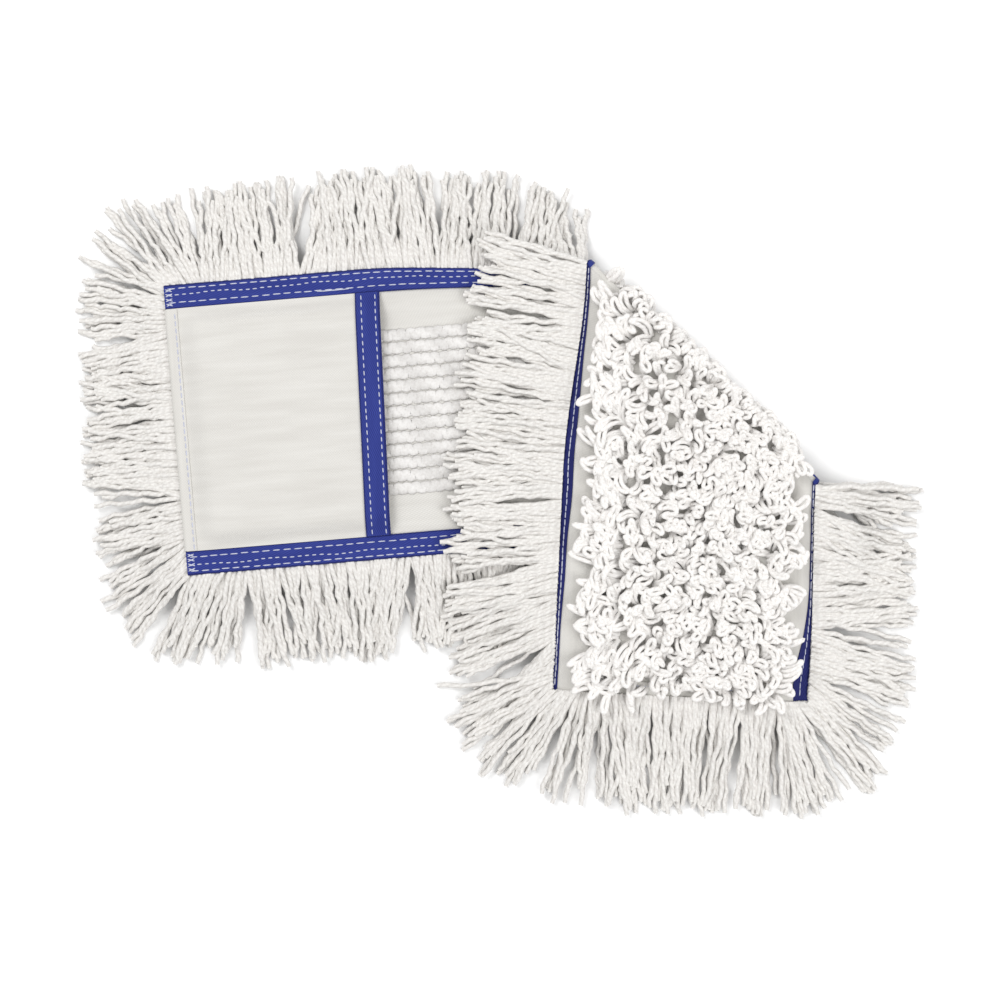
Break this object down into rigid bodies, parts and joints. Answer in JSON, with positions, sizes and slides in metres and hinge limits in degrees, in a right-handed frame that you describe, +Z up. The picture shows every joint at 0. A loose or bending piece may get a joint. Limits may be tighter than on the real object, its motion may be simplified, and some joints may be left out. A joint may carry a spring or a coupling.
{
  "type": "flat pocket mop refill",
  "caption": "Cotton flat mop refill with looped pile, cut-yarn fringe, canvas back, blue binding tape and end pockets, folded over along a diagonal.",
  "frame": {"origin": "middle of the folded mop's outline, on the floor it lies on", "axes": "+Z up; +X along the lower, flat half from its free end towards the fold, which is also the longest way; +Y across the flat half, to the side where the fold starts"},
  "size_m": [0.4282, 0.3454, 0.0288],
  "materials": {
    "yarn": "soft twisted cotton yarn, off-white",
    "canvas": "plain-woven cotton canvas, unbleached",
    "blue_tape": "woven polyester binding tape, royal blue",
    "thread": "white sewing thread"
  },
  "bodies": {
    "flat_half": {"canvas_flat": "canvas", "canvas_fold": "canvas", "fold_pile": "yarn", "binding_upper_flat": "blue_tape", "binding_lower_flat": "blue_tape", "binding_stitches_upper_flat": "thread", "binding_stitches_lower_flat": "thread", "end_hem_flat": "canvas", "pocket_seam_upper": "canvas", "pocket_seam_lower": "canvas", "pocket_seam_end": "canvas", "fringe_end_flat": "yarn", "fringe_upper_flat": "yarn", "fringe_lower_flat": "yarn", "fringe_fold_corner": "yarn", "loop_row_01_flat": "yarn", "loop_row_02_flat": "yarn", "loop_row_03_flat": "yarn", "loop_row_04_flat": "yarn", "loop_row_05_flat": "yarn", "loop_row_06_flat": "yarn", "loop_row_07_flat": "yarn", "loop_row_08_flat": "yarn", "loop_row_09_flat": "yarn", "loop_row_10_flat": "yarn", "loop_row_11_flat": "yarn", "loop_row_12_flat": "yarn", "loop_row_13_flat": "yarn"},
    "turned_half": {"canvas_turned": "canvas", "binding_upper_turned": "blue_tape", "binding_lower_turned": "blue_tape", "binding_stitches_upper_turned": "thread", "binding_stitches_lower_turned": "thread", "end_hem_turned": "canvas", "pocket_panel_turned": "canvas", "mouth_tape_turned": "blue_tape", "mouth_stitches_turned": "thread", "fringe_end_turned": "yarn", "fringe_upper_turned": "yarn", "fringe_lower_turned": "yarn", "loop_row_01_turned": "yarn", "loop_row_02_turned": "yarn", "loop_row_03_turned": "yarn", "loop_row_04_turned": "yarn", "loop_row_05_turned": "yarn", "loop_row_06_turned": "yarn", "loop_row_07_turned": "yarn", "loop_row_08_turned": "yarn", "loop_row_09_turned": "yarn", "loop_row_10_turned": "yarn", "loop_row_11_turned": "yarn", "loop_row_12_turned": "yarn", "loop_row_13_turned": "yarn"},
    "pocket_flap": {"pocket_panel_flat": "canvas", "mouth_tape_flat": "blue_tape", "mouth_stitches_flat": "thread"}
  },
  "joints": [
    {"name": "diagonal_fold", "type": "hinge", "parent": "flat_half", "child": "turned_half", "pos_m": [0.03992, 0.12366, 0.0144], "axis": [-0.6587, 0.7524, 0], "range_deg": [0, 180], "deforming": ["canvas_fold", "fold_pile"]},
    {"name": "pocket_mouth", "type": "hinge", "parent": "flat_half", "child": "pocket_flap", "pos_m": [-0.16508, 0.05066, 0.0176], "axis": [0, -1, 0], "range_deg": [0, 8]}
  ]
}
